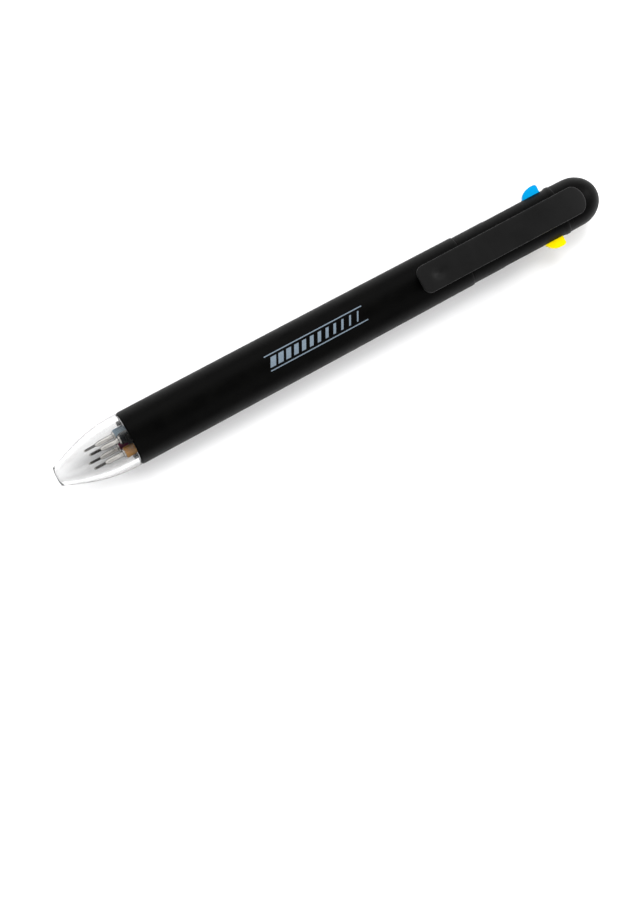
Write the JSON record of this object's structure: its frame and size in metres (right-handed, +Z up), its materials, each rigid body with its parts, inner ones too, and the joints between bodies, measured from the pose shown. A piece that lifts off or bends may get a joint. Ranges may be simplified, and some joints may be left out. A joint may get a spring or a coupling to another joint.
{
  "type": "multicolor click pen",
  "caption": "Retractable ballpoint pen with a clear nose, a tapered barrel, a sliding clip and coloured side sliders, each driving its own refill.",
  "frame": {"origin": "middle of the box round the pen, at its lowest point, under the pen axis", "axes": "+X along the pen from nose to tail, +Z up through the clip, +Y toward the cyan slider"},
  "size_m": [0.145, 0.016, 0.0166],
  "materials": {
    "soft_black": "soft-touch matte coat",
    "satin_black": "satin moulded plastic",
    "clear_plastic": "clear polished plastic",
    "cyan_plastic": "glossy moulded plastic",
    "magenta_plastic": "glossy moulded plastic",
    "yellow_plastic": "glossy moulded plastic",
    "cyan_tube": "ink seen through a thin plastic tube",
    "magenta_tube": "ink seen through a thin plastic tube",
    "yellow_tube": "ink seen through a thin plastic tube",
    "black_tube": "ink seen through a thin plastic tube",
    "tip_metal": "turned nickel silver",
    "spring_steel": "drawn spring wire"
  },
  "bodies": {
    "housing": {"upper_housing": "soft_black", "end_dome": "soft_black", "latch_core": "satin_black", "spring_seat": "satin_black", "spring_black": "spring_steel", "spring_cyan": "spring_steel", "spring_magenta": "spring_steel", "spring_yellow": "spring_steel"},
    "front": {"barrel": "soft_black", "nose_cone": "clear_plastic", "refill_guide": "satin_black"},
    "black_slider": {"slider_black": "satin_black", "tube_black": "black_tube", "clip_plate": "satin_black"},
    "black_tip": {"point_black": "tip_metal", "ball_black": "tip_metal"},
    "cyan_slider": {"slider_cyan": "cyan_plastic", "tube_cyan": "cyan_tube"},
    "cyan_tip": {"point_cyan": "tip_metal", "ball_cyan": "tip_metal"},
    "magenta_slider": {"slider_magenta": "magenta_plastic", "tube_magenta": "magenta_tube"},
    "magenta_tip": {"point_magenta": "tip_metal", "ball_magenta": "tip_metal"},
    "yellow_slider": {"slider_yellow": "yellow_plastic", "tube_yellow": "yellow_tube"},
    "yellow_tip": {"point_yellow": "tip_metal", "ball_yellow": "tip_metal"}
  },
  "joints": [
    {"name": "barrel_draw_off", "type": "slide", "parent": "housing", "child": "front", "axis": [-1, 0, 0], "range_m": [0, 0.105]},
    {"name": "black_slide", "type": "slide", "parent": "housing", "child": "black_slider", "axis": [-1, 0, 0], "range_m": [0, 0.0103], "stiffness_N_per_m": 60, "springref_m": -0.004, "deforming": ["spring_black"]},
    {"name": "black_lean", "type": "hinge", "parent": "black_slider", "child": "black_tip", "pos_m": [-0.0485, 0.00072, 0.01047], "axis": [0, -0.9455, 0.3256], "range_deg": [0, 5.8], "deforming": ["tube_black"]},
    {"name": "cyan_slide", "type": "slide", "parent": "housing", "child": "cyan_slider", "axis": [-1, 0, 0], "range_m": [0, 0.0103], "stiffness_N_per_m": 60, "springref_m": -0.004, "deforming": ["spring_cyan"]},
    {"name": "cyan_lean", "type": "hinge", "parent": "cyan_slider", "child": "cyan_tip", "pos_m": [-0.0485, 0.00247, 0.00728], "axis": [0, 0.3256, 0.9455], "range_deg": [0, 5.8], "deforming": ["tube_cyan"]},
    {"name": "magenta_slide", "type": "slide", "parent": "housing", "child": "magenta_slider", "axis": [-1, 0, 0], "range_m": [0, 0.0103], "stiffness_N_per_m": 60, "springref_m": -0.004, "deforming": ["spring_magenta"]},
    {"name": "magenta_lean", "type": "hinge", "parent": "magenta_slider", "child": "magenta_tip", "pos_m": [-0.0485, -0.00072, 0.00553], "axis": [0, 0.9455, -0.3256], "range_deg": [0, 5.8], "deforming": ["tube_magenta"]},
    {"name": "yellow_slide", "type": "slide", "parent": "housing", "child": "yellow_slider", "axis": [-1, 0, 0], "range_m": [0, 0.0103], "stiffness_N_per_m": 60, "springref_m": -0.004, "deforming": ["spring_yellow"]},
    {"name": "yellow_lean", "type": "hinge", "parent": "yellow_slider", "child": "yellow_tip", "pos_m": [-0.0485, -0.00247, 0.00872], "axis": [0, -0.3256, -0.9455], "range_deg": [0, 5.8], "deforming": ["tube_yellow"]}
  ],
  "couplings": [
    {"joint": "black_lean", "follows": "black_slide", "rad_per_m": 9.2919},
    {"joint": "cyan_lean", "follows": "cyan_slide", "rad_per_m": 9.2919},
    {"joint": "magenta_lean", "follows": "magenta_slide", "rad_per_m": 9.2919},
    {"joint": "yellow_lean", "follows": "yellow_slide", "rad_per_m": 9.2919}
  ]
}
